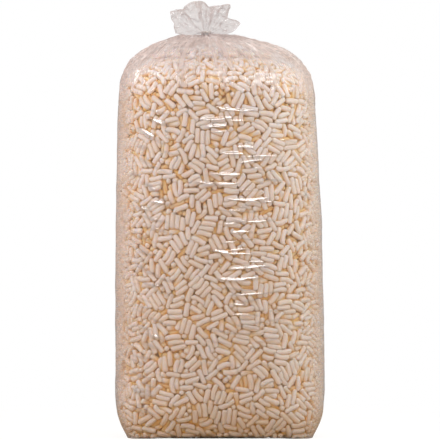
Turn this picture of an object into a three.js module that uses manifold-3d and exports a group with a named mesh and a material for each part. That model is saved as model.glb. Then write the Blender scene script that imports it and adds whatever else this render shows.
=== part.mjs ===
// A tall clear polyethylene bag of starch packing peanuts, gathered and tied at the neck.
//
// The filled bag is one blown tube of film with a gusseted, heat-sealed bottom. Its section is a
// rounded square that is squarest at the base, where the gussets end in corners, and round at the
// neck. The film swells over its foot, tapers a little up the side, and closes over a pillow-shaped
// shoulder in radial pleats. Above the tie its loose mouth opens into a lobed rosette.
//
// Inside lies the heap of peanuts as one bulk solid, and the topmost peanuts, which lie loose in the
// slack of the shoulder, are separate pieces at their real size. A twist tie closes the neck.
//
// Millimetres, +Z up. The origin is on the floor at the middle of the bag's outer box, +X is across
// the wide front and the front faces -Y.

import * as THREE from "three";
import { mergeGeometries, mergeVertices } from "three/addons/utils/BufferGeometryUtils.js";
import Module from "manifold-3d";

const wasm = await Module();
wasm.setup();

// ---- driving dimensions ----
const BODY_WIDTH = 600;
const BODY_DEPTH = 560;
const CROWN_HEIGHT = 1154; // where the shoulder's film meets the neck
const TIE_HEIGHT = 1166; // middle of the tie's band
const TOTAL_HEIGHT = 1252; // highest lobe of the mouth
const PEANUT_LENGTH = 42;
const PEANUT_RADIUS = 8;

// The film is 0.05 mm thick on the real bag. Here it is drawn thicker, so that it is a solid wall.
const FILM = 0.6;
const GAP = 1.2; // between the film and the heap inside it

// ---- outline of the filled bag ----
const FOOT_HEIGHT = 130; // the side leans out over this height
const FOOT_INSET = 34.5; // how far the base is in from the widest place
const FOOT_SPACING = 1.5; // rings stand closer together near the floor
const SHOULDER_HEIGHT = 960;
const TAPER = 18; // how far the shoulder's edge is in from the widest place
const SWELL = 2.5; // exponent of every rounded stretch, in plan and in elevation
const BASE_SQUARENESS = 2.6; // added to SWELL in plan at the floor
const SQUARENESS_FADE = 110; // height over which the corners round off
const ROUNDING_POWER = 4; // how late up the shoulder the plan turns into the neck's circle
const LEAN = 13; // the body leans this far to -X between its foot and its crown
const LEAN_POWER = 1.5;
const NECK_PULL = 27; // and the tie pulls the crown this much further
const PULL_POWER = 8;

const NECK_RADIUS = 13; // the gathered film, packed tight under the tie
const NECK_PASSAGE = 3; // what is left open down the middle of the gathers

// ---- resolution ----
const AROUND = 64;
const SIDE_STEPS = 5;
const FOOT_STEPS = 4;
const SHOULDER_STEPS = 11;
const MOUTH_STEPS = 6;

const FILM_LOOK = new THREE.MeshStandardMaterial({
  name: "clear_film",
  color: 0xe9e6e6,
  roughness: 0.12,
  metalness: 0,
  transparent: true,
  opacity: 0.3,
});
const STARCH_LOOK = new THREE.MeshStandardMaterial({
  name: "starch_foam",
  color: 0xf0dcc6,
  roughness: 0.85,
  metalness: 0,
});
const TIE_LOOK = new THREE.MeshStandardMaterial({
  name: "tie_plastic",
  color: 0xe4e2dd,
  roughness: 0.45,
  metalness: 0,
});

// ---- the bag's form ----

// A station is one level ring of the bag: half its width, its height, and how far it is up the
// shoulder, from 0 at the shoulder's edge to 1 at the crown.
const station = (half, z, rise = 0) => ({ half, z, rise });

// The foot and the straight side, from the floor to the edge of the shoulder.
function sideStations() {
  const widest = BODY_WIDTH / 2;
  const stations = [];
  for (let i = 0; i < FOOT_STEPS; i++) {
    const share = (i / FOOT_STEPS) ** FOOT_SPACING;
    stations.push(
      station(widest - FOOT_INSET * (1 - share) ** SWELL, share * FOOT_HEIGHT),
    );
  }
  for (let i = 0; i < SIDE_STEPS; i++) {
    const share = i / SIDE_STEPS;
    const z = THREE.MathUtils.lerp(FOOT_HEIGHT, SHOULDER_HEIGHT, share);
    stations.push(station(widest - TAPER * share ** SWELL, z));
  }
  return stations;
}

// A quarter of a superellipse from the shoulder's edge to a crown, stopping short of the axis.
function shoulderStations(crown, innermost) {
  const edge = BODY_WIDTH / 2 - TAPER;
  const last = Math.acos((innermost / edge) ** (SWELL / 2));
  return Array.from({ length: SHOULDER_STEPS + 1 }, (_, i) => {
    const angle = (last * i) / SHOULDER_STEPS;
    const rise = Math.sin(angle) ** (2 / SWELL);
    const half = edge * Math.cos(angle) ** (2 / SWELL);
    return station(half, THREE.MathUtils.lerp(SHOULDER_HEIGHT, crown, rise), rise);
  });
}

// How far the middle of a level ring stands from the Z axis.
function centreX(z, rise) {
  const lean = Math.max(0, (z - FOOT_HEIGHT) / (CROWN_HEIGHT - FOOT_HEIGHT));
  return -LEAN * lean ** LEAN_POWER - NECK_PULL * rise ** PULL_POWER;
}

// Turns a round ring into the bag's rounded square, and back to a circle at the neck.
function planPoint(half, z, rise, angle) {
  const roundness = rise ** ROUNDING_POWER;
  const square = SWELL + BASE_SQUARENESS * Math.exp(-z / SQUARENESS_FADE);
  const power = THREE.MathUtils.lerp(square, 2, roundness);
  const depth = THREE.MathUtils.lerp(BODY_DEPTH / BODY_WIDTH, 1, roundness);
  const c = Math.cos(angle);
  const s = Math.sin(angle);
  const reach = half * (Math.abs(c) ** power + Math.abs(s) ** power) ** (-1 / power);
  return new THREE.Vector3(centreX(z, rise) + reach * c, depth * reach * s, z);
}

// ---- the film ----

const PLEATS = 16; // radial folds of the shoulder, which run into the neck
const PLEAT_DEPTH = 3.2;
const PLEAT_RADIUS = 70; // where the folds stand highest
const LOBES = 5;
const LOBE_TURN = 0.9; // radians
const LOBE_REACH = 0.16; // share of the mouth's radius that a lobe adds
const LOBE_LIFT = 0.18; // share of the mouth's height that a lobe adds
const MOUTH_RADIUS = 86;
const FLARE_POWER = 1.2;
const NECK_TOP = TIE_HEIGHT + 7;
const GATHERED_TO = 1.5; // the film is packed solid within this many neck radii of the axis
const UNGATHERED_AT = 0.25; // share of the mouth's length at which its folds have parted

// The pleats lift and drop the shoulder's film, and fade out towards its edge.
function pleatLift(half, rise, angle) {
  const near = half / PLEAT_RADIUS;
  const depth = PLEAT_DEPTH * near * Math.exp(1 - near) * rise ** 2;
  return depth * Math.cos(PLEATS * angle);
}

// One side of the film as rows of { half, z, rise, open }, from the base's middle to the mouth's
// edge. open runs from 0 at the neck to 1 at the mouth's edge.
function filmRows() {
  const rows = [...sideStations(), ...shoulderStations(CROWN_HEIGHT, NECK_RADIUS)];
  rows.forEach((row) => {
    row.open = 0;
  });
  rows.push({ half: NECK_RADIUS, z: TIE_HEIGHT, rise: 1, open: 0 });
  for (let i = 0; i <= MOUTH_STEPS; i++) {
    const open = i / MOUTH_STEPS;
    const half = THREE.MathUtils.lerp(NECK_RADIUS, MOUTH_RADIUS, open ** FLARE_POWER);
    const tallest = 1 + LOBE_LIFT;
    const z = NECK_TOP + ((TOTAL_HEIGHT - NECK_TOP) / tallest) * open;
    rows.push({ half, z, rise: 1, open });
  }
  return rows;
}

// The inner wall follows the outer one at the film's thickness, except at the neck, where the
// gathers fill the section down to the passage.
function innerRow(rows, index) {
  const row = rows[index];
  const before = rows[Math.max(0, index - 1)];
  const after = rows[Math.min(rows.length - 1, index + 1)];
  const along = new THREE.Vector2(after.half - before.half, after.z - before.z).normalize();
  const gathered = row.rise === 1 || row.half < GATHERED_TO * NECK_RADIUS;
  const packed = gathered ? 1 - Math.min(1, row.open / UNGATHERED_AT) : 0;
  const wall = THREE.MathUtils.lerp(FILM, NECK_RADIUS - NECK_PASSAGE, packed);
  return {
    ...row,
    half: row.half - wall * (packed ? 1 : along.y),
    z: row.z + (packed ? 0 : wall * along.x),
  };
}

function filmPoint(row, angle) {
  const lobe = Math.cos(LOBES * angle + LOBE_TURN);
  const half = row.half * (1 + LOBE_REACH * row.open ** 2 * lobe);
  const point = planPoint(half, row.z, row.rise, angle);
  point.z += pleatLift(row.half, row.rise, angle) * (row.open > 0 ? 0 : 1);
  point.z += (row.z - NECK_TOP) * LOBE_LIFT * (row.open > 0 ? lobe : 0);
  return point;
}

// The outer wall, the inner wall turned to face the inside, and the mouth's edge between them.
function filmBag() {
  const outer = filmRows();
  const inner = outer.map((_, index) => innerRow(outer, index));
  inner[0].z = FILM;
  const middle = { half: 0, z: 0, rise: 0, open: 0 };
  const outerWall = reshapedLathe([middle, ...outer], filmPoint);
  const innerWall = reshapedLathe([{ ...middle, z: FILM }, ...inner], filmPoint);
  const edge = reshapedLathe([outer.at(-1), inner.at(-1)], filmPoint);
  innerWall.getIndex().array.reverse();
  return mergeGeometries([outerWall, innerWall, edge]);
}

// Lathes rows about Z, then moves each vertex to place(row, angle).
function reshapedLathe(rows, place) {
  const profile = rows.map((row) => new THREE.Vector2(row.half, row.z));
  const geometry = new THREE.LatheGeometry(profile, AROUND);
  const position = geometry.getAttribute("position");
  for (let i = 0; i < position.count; i++) {
    const row = rows[i % rows.length];
    const turn = Math.floor(i / rows.length) % AROUND;
    const point = place(row, (2 * Math.PI * turn) / AROUND);
    position.setXYZ(i, point.x, point.y, point.z);
  }
  return geometry;
}

// ---- the heap of peanuts ----

const HEAP_CROWN = CROWN_HEIGHT - 50; // the heap stops short of the neck, and the film is slack above
const HEAP_FLOOR = FILM + 0.4;
const HEAP_TOP_RADIUS = 12;

function heap() {
  const rows = [...sideStations(), ...shoulderStations(HEAP_CROWN, HEAP_TOP_RADIUS)].map((row) => ({
    ...row,
    half: row.half - GAP - FILM,
  }));
  rows[0].z = HEAP_FLOOR;
  rows.unshift({ half: 0, z: HEAP_FLOOR, rise: 0 });
  rows.push({ half: 0, z: rows.at(-1).z, rise: 1 });
  return reshapedLathe(rows, (row, angle) => planPoint(row.half, row.z, row.rise, angle));
}

// ---- the loose peanuts on top ----

const PEANUT_SIDES = 8;
const PEANUT_BEND = 0.0035; // sideways bow, per millimetre squared of length from the middle
const RING_SPACING = 52; // a peanut's length and a little more, so that any two lie clear
const RINGS = 3;
const LAID_GAP = 1;
const BOWS = [-0.6, 1]; // every other peanut bows the other way, and less
const GOLDEN_ANGLE = Math.PI * (3 - Math.sqrt(5));

// An extruded rod of puffed starch, cut to length with soft swollen ends, and slightly bowed.
function peanut(bow) {
  const half = PEANUT_LENGTH / 2;
  const end = [
    [0, half],
    [0.62 * PEANUT_RADIUS, half - 0.4],
    [0.93 * PEANUT_RADIUS, half - 2.6],
    [PEANUT_RADIUS, half - 7],
  ];
  const profile = [
    ...end.map(([r, y]) => new THREE.Vector2(r, -y)),
    ...end.reverse().map(([r, y]) => new THREE.Vector2(r, y)),
  ];
  const geometry = new THREE.LatheGeometry(profile, PEANUT_SIDES);
  const position = geometry.getAttribute("position");
  for (let i = 0; i < position.count; i++) {
    const sideways = bow * PEANUT_BEND * position.getY(i) ** 2;
    position.setX(i, position.getX(i) + sideways);
  }
  return geometry;
}

// The heap's upper surface at a distance and direction from the crown's middle.
function heapTop(distance, angle) {
  const edge = BODY_WIDTH / 2 - TAPER - GAP - FILM;
  const rise = (1 - (distance / edge) ** SWELL) ** (1 / SWELL);
  const z = THREE.MathUtils.lerp(SHOULDER_HEIGHT, HEAP_CROWN, rise);
  return planPoint(distance, z, rise, angle);
}

function heapNormal(distance, angle) {
  const step = 1;
  const inward = heapTop(Math.max(distance, step) - step, angle);
  const outward = heapTop(distance + step, angle);
  const onward = heapTop(distance + step, angle + 0.05).sub(outward);
  return outward.sub(inward).cross(onward).normalize();
}

// Lays peanuts in rings on the heap, each turned by the golden angle from the last.
function laidPeanuts(material) {
  const laid = [];
  for (let ring = 0; ring <= RINGS; ring++) {
    const inRing = Math.max(1, 6 * ring);
    for (let i = 0; i < inRing; i++) {
      const number = laid.length + 1;
      const angle = (2 * Math.PI * (i + 0.5 * (ring % 2))) / inRing;
      const distance = ring * RING_SPACING;
      const mesh = new THREE.Mesh(peanut(BOWS[number % 2]), material);
      const normal = ring ? heapNormal(distance, angle) : new THREE.Vector3(0, 0, 1);
      const heading = new THREE.Vector3(1, 0, 0)
        .applyAxisAngle(new THREE.Vector3(0, 0, 1), number * GOLDEN_ANGLE)
        .projectOnPlane(normal)
        .normalize();
      const across = new THREE.Vector3().crossVectors(heading, normal);
      mesh.quaternion.setFromRotationMatrix(
        new THREE.Matrix4().makeBasis(across, heading, normal),
      );
      mesh.position
        .copy(heapTop(distance, angle))
        .addScaledVector(normal, PEANUT_RADIUS + LAID_GAP);
      mesh.name = "peanut_" + String(number).padStart(2, "0");
      laid.push(mesh);
    }
  }
  return laid;
}

// ---- the twist tie ----

const TIE_WIDTH = 4;
const TIE_THICKNESS = 1;
const TIE_GAP = 0.5;
const TAIL_LENGTH = 26;
const TAIL_TURNS = 2.5;
const TAIL_STEPS = 20;
const TAIL_ROOT = 0.4; // the tail starts this far out in the band's thickness
const BAND_SIDES = 32;
const WELD = 1e-3; // vertices this close together are one

function solidOf(geometry) {
  const bare = geometry.clone();
  bare.deleteAttribute("normal");
  bare.deleteAttribute("uv");
  const merged = mergeVertices(bare, WELD);
  return new wasm.Manifold(
    new wasm.Mesh({
      numProp: 3,
      vertProperties: merged.getAttribute("position").array,
      triVerts: new Uint32Array(merged.index.array),
    }),
  );
}

function geometryOf(solid) {
  const mesh = solid.getMesh();
  return new THREE.BufferGeometry()
    .setAttribute("position", new THREE.BufferAttribute(mesh.vertProperties, 3))
    .setIndex(new THREE.BufferAttribute(mesh.triVerts, 1));
}

// A plastic ribbon with a wire in it, wrapped round the neck, with its two ends twisted together
// into one tail at the front.
function twistTie() {
  const inside = NECK_RADIUS + TIE_GAP;
  const outside = inside + TIE_THICKNESS;
  const high = TIE_WIDTH / 2;
  const corners = [
    [inside, -high],
    [outside, -high],
    [outside, high],
    [inside, high],
    [inside, -high],
  ];
  const band = new THREE.LatheGeometry(
    corners.map(([r, y]) => new THREE.Vector2(r, y)),
    BAND_SIDES,
  ).rotateX(Math.PI / 2);

  const tail = new THREE.BoxGeometry(2 * TIE_THICKNESS, TAIL_LENGTH, TIE_WIDTH, 1, TAIL_STEPS, 1);
  const position = tail.getAttribute("position");
  const point = new THREE.Vector3();
  for (let i = 0; i < position.count; i++) {
    point.fromBufferAttribute(position, i);
    const turn = (point.y / TAIL_LENGTH) * TAIL_TURNS * 2 * Math.PI;
    point.applyAxisAngle(new THREE.Vector3(0, 1, 0), turn);
    position.setXYZ(i, point.x, point.y, point.z);
  }
  tail.translate(0, -(inside + TAIL_ROOT + TAIL_LENGTH / 2), 0);
  return geometryOf(solidOf(band).add(solidOf(tail)));
}

// ---- assembly ----

function named(name, geometry, material) {
  const mesh = new THREE.Mesh(geometry, material);
  mesh.name = name;
  return mesh;
}

const bag = new THREE.Group();
bag.add(named("film_bag", filmBag(), FILM_LOOK));
bag.add(named("peanut_heap", heap(), STARCH_LOOK));
bag.add(...laidPeanuts(STARCH_LOOK));

const tie = named("twist_tie", twistTie(), TIE_LOOK);
tie.position.set(centreX(TIE_HEIGHT, 1), 0, TIE_HEIGHT);
bag.add(tie);

export default bag;
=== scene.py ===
# A tall clear polyethylene bag full of starch packing peanuts, gathered and tied at the neck.
#
# It is put together from the inside out: the form that the filled bag takes, the peanuts that press
# against the film, the heap behind them, the film itself, and last the tie round its neck.
# Metres, +Z up, the front faces -Y.
import math

import bpy
import numpy as np
from mathutils.kdtree import KDTree
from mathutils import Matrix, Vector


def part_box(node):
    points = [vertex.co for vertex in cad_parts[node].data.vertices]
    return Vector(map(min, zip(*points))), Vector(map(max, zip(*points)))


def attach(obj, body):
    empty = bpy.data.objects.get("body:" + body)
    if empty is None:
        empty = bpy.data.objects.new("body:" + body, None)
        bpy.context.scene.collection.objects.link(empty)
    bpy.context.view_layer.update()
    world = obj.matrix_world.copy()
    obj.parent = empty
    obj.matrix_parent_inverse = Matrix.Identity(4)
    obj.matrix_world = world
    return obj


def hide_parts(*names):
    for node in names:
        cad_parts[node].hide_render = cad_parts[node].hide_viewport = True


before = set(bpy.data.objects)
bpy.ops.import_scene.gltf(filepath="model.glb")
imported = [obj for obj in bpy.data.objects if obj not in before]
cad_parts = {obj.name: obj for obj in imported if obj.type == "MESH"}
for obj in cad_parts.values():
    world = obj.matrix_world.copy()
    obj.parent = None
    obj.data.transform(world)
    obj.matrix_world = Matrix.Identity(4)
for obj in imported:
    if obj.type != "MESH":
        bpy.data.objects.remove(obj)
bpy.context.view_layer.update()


# ==== The filled bag's form ====
# A blown tube of film, stood on its gusseted bottom and filled with loose peanuts, swells to a rounded
# square. It is squarest at the floor, where the gussets end in corners, and round at the neck. The
# peanuts press out against this form, and the film follows it.

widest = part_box("film_bag")[1].x
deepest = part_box("film_bag")[1].y
heap_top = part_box("peanut_heap")[1].z
heap_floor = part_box("peanut_heap")[0].z
tie_middle = (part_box("twist_tie")[0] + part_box("twist_tie")[1]) / 2
neck_base = tie_middle.z - 0.012  # where the shoulder has narrowed to the neck

FOOT_HEIGHT = 0.130  # up to where the bag is widest
FOOT_INSET = 0.0345  # how much each side comes in by the floor
SHOULDER_HEIGHT = 0.960
TAPER = 0.018  # how much each side comes in by the shoulder
SWELL = 2.5  # power of the foot's and the shoulder's curves, and of the level section
BASE_SQUARENESS = 2.6  # what the section's power gains at the floor
SQUARENESS_FADE = 0.110
ROUND_POWER = 4  # how late in the shoulder the section turns round
LEAN = 0.013  # how far the bag leans to the left on the way up
LEAN_POWER = 1.5
PULL_POWER = 8  # how late in the shoulder the tie pulls the section sideways
FOOT_ARCH = 0.005  # how far the foot's edge rises off the floor between the corners
ARCH_FADE = 0.150
ARCH_FROM = 0.80  # of the way out from the base's middle
ARCH_CORNER = 5  # power: how close to each corner the arch goes
FILM_GAP = 0.0018  # from the film to the peanuts behind it


def side_half(z):
    """Half the bag's width at a height, up to the edge of the shoulder."""
    foot = np.clip(1 - z / FOOT_HEIGHT, 0, 1) ** SWELL
    side = np.clip((z - FOOT_HEIGHT) / (SHOULDER_HEIGHT - FOOT_HEIGHT), 0, 1) ** SWELL
    return widest - FOOT_INSET * foot - TAPER * side


def plan(z, rise):
    """The level section's superellipse power, its depth over its width, and its middle's X."""
    rise = np.clip(rise, 0, 1)
    roundness = rise**ROUND_POWER
    square = SWELL + BASE_SQUARENESS * np.exp(-z / SQUARENESS_FADE)
    power = square + (2 - square) * roundness
    depth = deepest / widest + (1 - deepest / widest) * roundness
    lean = np.clip((z - FOOT_HEIGHT) / (neck_base - FOOT_HEIGHT), 0, None) ** LEAN_POWER
    middle = -LEAN * lean + (tie_middle.x + LEAN) * rise**PULL_POWER
    return power, depth, middle


def on_ring(half, z, rise, angle):
    """The point of a level section at an angle about its middle."""
    power, depth, middle = plan(z, rise)
    across, along = np.cos(angle), np.sin(angle)
    reach = half * (np.abs(across) ** power + np.abs(along) ** power) ** (-1 / power)
    return np.stack([middle + reach * across, depth * reach * along, z + 0 * reach], axis=-1)


def foot_arched(points):
    """Lifts the foot's edge between its corners, where the full bottom rounds up off the floor."""
    x, y, z = np.moveaxis(points, -1, 0)
    power, depth, middle = plan(np.maximum(z, 0), 0.0)
    reach = (np.abs(x - middle) ** power + np.abs(y / depth) ** power) ** (1 / power)
    out_share = (reach / side_half(np.maximum(z, 0)) - ARCH_FROM) / (1 - ARCH_FROM)
    edge = np.sin(math.pi / 2 * np.clip(out_share, 0, 1))
    between = 1 - np.abs(np.sin(2 * np.arctan2(y / depth, x - middle))) ** ARCH_CORNER
    lifted = points.copy()
    lifted[..., 2] += FOOT_ARCH * edge * between * np.clip(1 - z / ARCH_FADE, 0, 1) ** 2
    return lifted


# ==== The peanuts: how they lie ====
# Each is a puff of corn starch, extruded as a rope and cut while hot. They are poured in loose, so they
# lie at all angles, but the film lays the outermost ones flat and nudges neighbours side by side.

PEANUT_LENGTH = 0.0428
PEANUT_RADIUS = 0.0084
LENGTH_SPREAD = 0.0034
RADIUS_SPREAD = 0.0004
LAYER_DEPTH = 0.040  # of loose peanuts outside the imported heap
FLAT_COVER = 1.06  # share of the film that the peanuts lying against it cover
FLAT_PLAY = 0.0080  # how far in from the film these may tip
PACKING = 0.66  # share of the rest of the layer that peanuts fill
ON_END = 0.12  # share of the outermost peanuts that point at the film instead
SUNK_ON_END = 0.3  # how far in such a peanut starts, in lengths
FLAT_TILT = 0.18  # share that is left of an outermost peanut's slope towards the film
DEEP_TILT = 0.25
END_TILT = 0.2  # how much the ones on end still slope
TRIES = 160000  # places in the bag's box that the peanuts are picked from
GAP_WIDTH = 0.0125  # of a hole between them that one more peanut is stood in
GAP_TRIES = 500000
GAP_TILT = 0.35
CLUSTERS = 1500  # of neighbours that lie about the same way
CLUSTER_SPREAD = 0.60  # how much the neighbours differ
SLICE = 500  # peanuts whose cluster is looked up at a time, which saves memory
LEVEL_FROM = 0.03  # X past which the film's level wrinkles lay most of the peanuts level
LEVELLED = 0.5
ROUNDED_SHARE = 0.96  # a peanut's volume over its cylinder's
PRESSURE = 0.00022  # how far the heap's weight presses a peanut outwards in each round of settling
BEADS = 4  # each peanut is settled as a row of touching balls
BLUNTNESS = 0.8  # how far in from the cut end the last ball's middle is, in radii
SEARCH_EVERY = 6  # rounds of settling for which the same neighbours are kept
SEARCH_MARGIN = 0.003
PUSH = 1.3  # over 1, so that a row of pushed peanuts parts sooner
SLOPE_STEP = 0.0005

rng = np.random.default_rng(20)


def fullness(points):
    """How far out each point is in the heap's form: 1 is against the film, 0 the bag's axis."""
    x, y, z = points.T
    rise = np.clip((z - SHOULDER_HEIGHT) / (heap_top - SHOULDER_HEIGHT), 0, None)
    power, depth, middle = plan(z, rise)
    reach = (np.abs(x - middle) ** power + np.abs(y / depth) ** power) ** (1 / power)
    return ((reach / (side_half(z) - FILM_GAP)) ** SWELL + rise**SWELL) ** (1 / SWELL)


def wall(points):
    """Each point's distance in from the heap's outside, and the direction straight out."""
    here = fullness(points)
    steps = SLOPE_STEP * np.eye(3)
    rises = [fullness(points + step) - fullness(points - step) for step in steps]
    slope = np.stack(rises, axis=1) / (2 * SLOPE_STEP)
    steepness = np.linalg.norm(slope, axis=1)
    depth = (1 - here) / steepness
    outward = slope / steepness[:, None]
    above_floor = points[:, 2] - heap_floor
    on_floor = above_floor < depth
    depth[on_floor] = above_floor[on_floor]
    outward[on_floor] = (0, 0, -1)
    return depth, outward


def unit(vectors):
    return vectors / np.linalg.norm(vectors, axis=-1, keepdims=True)


def scatter():
    """Random peanuts: middles, headings, half lengths, radii, and how shallow and deep each may lie."""
    low, high = np.array(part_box("peanut_heap"))
    tries = rng.uniform(low, high, (TRIES, 3))
    depth, outward = wall(tries)
    inner_edge = 2 * PEANUT_RADIUS
    box_volume = np.prod(high - low)
    area = box_volume * np.mean((depth > 0) & (depth < inner_edge)) / inner_edge
    flat_size = 2 * PEANUT_RADIUS * PEANUT_LENGTH - (4 - math.pi) * (BLUNTNESS * PEANUT_RADIUS) ** 2
    solid_size = math.pi * PEANUT_RADIUS**2 * PEANUT_LENGTH * ROUNDED_SHARE
    flat_count = int(FLAT_COVER * area / flat_size)
    deep_count = int(PACKING * area * (LAYER_DEPTH - inner_edge) / solid_size)

    flat = (depth > PEANUT_RADIUS) & (depth < PEANUT_RADIUS + FLAT_PLAY)
    deep = (depth > inner_edge + PEANUT_RADIUS) & (depth < LAYER_DEPTH - PEANUT_RADIUS)
    chosen = np.concatenate([np.flatnonzero(flat)[:flat_count], np.flatnonzero(deep)[:deep_count]])
    count = len(chosen)
    outermost = np.arange(count) < min(flat_count, flat.sum())
    middles, outward = tries[chosen], outward[chosen]

    seeds = middles[rng.choice(count, CLUSTERS, replace=False)]
    leader_heading = rng.normal(size=(CLUSTERS, 3))
    leader_heading[seeds[:, 0] > LEVEL_FROM, 2] *= LEVELLED
    leader_heading = unit(leader_heading)
    nearest = np.empty(count, int)
    for start in range(0, count, SLICE):
        gap = middles[start : start + SLICE, None] - seeds[None]
        nearest[start : start + SLICE] = np.argmin((gap**2).sum(-1), axis=1)
    heading = leader_heading[nearest] + CLUSTER_SPREAD * rng.normal(size=(count, 3))
    along_out = (heading * outward).sum(1)
    tilt = np.where(outermost, FLAT_TILT, DEEP_TILT)
    heading = unit(heading - ((1 - tilt) * along_out)[:, None] * outward)
    on_end = outermost & (rng.random(count) < ON_END)
    heading[on_end] = unit(outward + END_TILT * heading)[on_end]
    middles[on_end] -= SUNK_ON_END * PEANUT_LENGTH * outward[on_end]

    radius = PEANUT_RADIUS + RADIUS_SPREAD * rng.normal(size=count).clip(-2, 2)
    half = PEANUT_LENGTH / 2 + LENGTH_SPREAD / 2 * rng.normal(size=count).clip(-2, 2)
    shallowest = np.where(outermost, radius, inner_edge)
    deepest_lie = np.where(outermost & ~on_end, radius + FLAT_PLAY, LAYER_DEPTH - radius)
    return middles, heading, half, radius, shallowest, deepest_lie


def beads_of(middles, heading, half, radius):
    """Each peanut as a row of balls, by their middles."""
    spread = (half - BLUNTNESS * radius)[:, None] * np.linspace(-1, 1, BEADS)
    return (middles[:, None] + heading[:, None] * spread[..., None]).reshape(-1, 3)


def search_tree(points):
    """Finds the nearest of many points fast, by their numbers."""
    tree = KDTree(len(points))
    for number, point in enumerate(points):
        tree.insert(point, number)
    tree.balance()
    return tree


def near_pairs(beads, reach, owner):
    """Every pair of balls of two peanuts that are within reach, found on a grid of cells."""
    cell = np.floor((beads - beads.min(0)) / reach).astype(np.int64) + 1
    size = cell.max(0) + 2
    key = (cell[:, 0] * size[1] + cell[:, 1]) * size[2] + cell[:, 2]
    order = np.argsort(key, kind="stable")
    sorted_key = key[order]
    steps = [(dx, dy, dz) for dx in (-1, 0, 1) for dy in (-1, 0, 1) for dz in (-1, 0, 1)]
    firsts, seconds = [], []
    for dx, dy, dz in steps[13:]:
        other = sorted_key + (dx * size[1] + dy) * size[2] + dz
        begin = np.searchsorted(sorted_key, other, "left")
        found = np.searchsorted(sorted_key, other, "right") - begin
        first = np.repeat(np.arange(len(order)), found)
        second = np.arange(len(first)) + np.repeat(begin - np.cumsum(found) + found, found)
        if (dx, dy, dz) == (0, 0, 0):
            first, second = first[second > first], second[second > first]
        firsts.append(order[first])
        seconds.append(order[second])
    first, second = np.concatenate(firsts), np.concatenate(seconds)
    close = ((beads[first] - beads[second]) ** 2).sum(1) < reach**2
    keep = close & (owner[first] != owner[second])
    return first[keep], second[keep]


def settle(middles, heading, half, radius, shallowest, deepest_lie, rounds):
    """Pushes overlapping peanuts apart between the film and the heap, as shaking the bag does."""
    count = len(middles)
    owner = np.repeat(np.arange(count), BEADS)
    place = np.linspace(-1, 1, BEADS)
    bead_radius, bead_shallowest, bead_deepest = (
        np.repeat(each, BEADS) for each in (radius, shallowest, deepest_lie)
    )
    reach = 2 * (PEANUT_RADIUS + 2 * RADIUS_SPREAD) + SEARCH_MARGIN
    for turn in range(rounds):
        beads = beads_of(middles, heading, half, radius)
        if turn % SEARCH_EVERY == 0:
            first, second = near_pairs(beads, reach, owner)
            touching = bead_radius[first] + bead_radius[second]
            from_depth, outward = wall(beads)
            from_beads = beads.copy()
        apart = beads[first] - beads[second]
        distance = np.sqrt((apart**2).sum(1)) + 1e-9
        overlap = np.clip(touching - distance, 0, None)
        push = apart * (0.5 * overlap / distance)[:, None]
        hit = overlap > 0
        total = len(beads)
        hits = np.bincount(first[hit], minlength=total) + np.bincount(second[hit], minlength=total)
        share = PUSH / np.sqrt(np.maximum(hits, 1))
        for axis, along in enumerate(push.T):
            moved = np.bincount(first, along, total) - np.bincount(second, along, total)
            beads[:, axis] += moved * share
        depth = from_depth - ((beads - from_beads) * outward).sum(1)
        too_far_out = np.clip(bead_shallowest - depth, 0, None)
        too_far_in = np.clip(depth - bead_deepest, 0, None)
        beads += outward * (too_far_in - too_far_out + PRESSURE)[:, None]
        rows = beads.reshape(count, BEADS, 3)
        middles = rows.mean(1)
        heading = unit((rows * place[:, None]).sum(1))
    return middles, heading


def filled(middles, heading, half, radius, shallowest, deepest_lie):
    """Stands more peanuts on end in the holes that the flat ones leave against the film."""
    flat = shallowest < 1.5 * PEANUT_RADIUS  # only the outermost may come so close to the film
    tree = search_tree(beads_of(middles[flat], heading[flat], half[flat], radius[flat]))
    low, high = np.array(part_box("peanut_heap"))
    tries = rng.uniform(low, high, (GAP_TRIES, 3))
    depth, outward = wall(tries)
    near_film = (depth > PEANUT_RADIUS) & (depth < PEANUT_RADIUS + FLAT_PLAY)
    added, ways = [], []
    for point, way in zip(tries[near_film], outward[near_film]):
        if tree.find(point)[2] < GAP_WIDTH / 2 + PEANUT_RADIUS:
            continue
        if added and np.min(((np.array(added) - point) ** 2).sum(1)) < GAP_WIDTH**2:
            continue
        added.append(point)
        ways.append(way)
    count = len(added)
    way = unit(np.array(ways) + GAP_TILT * rng.normal(size=(count, 3)))
    length = PEANUT_LENGTH / 2 + LENGTH_SPREAD / 2 * rng.normal(size=count).clip(-2, 2)
    inward = np.array(added) - (length - PEANUT_RADIUS)[:, None] * way
    girth = np.full(count, PEANUT_RADIUS)
    lying = (middles, heading, half, radius, shallowest, deepest_lie)
    stood = (inward, way, length, girth, girth, np.full(count, LAYER_DEPTH))
    return [np.concatenate(pair) for pair in zip(lying, stood)]


rounds = 130
middles, headings, *sizes_and_limits = scatter()
middles, headings = settle(middles, headings, *sizes_and_limits, rounds)
middles, headings, *sizes_and_limits = filled(middles, headings, *sizes_and_limits)
middles, headings = settle(middles, headings, *sizes_and_limits, rounds)
halves, radii = sizes_and_limits[:2]
depths = wall(middles)[0]


# ==== The peanuts: their shape and finish ====
# A peanut is a short rope of foam with soft-edged cut ends, often bowed, and a little lumpy where its
# cells puffed unevenly. Starch foam is matt and warm white. The tan that light takes on between many of
# them, and the shade in their crevices, are painted into their colour.

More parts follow.
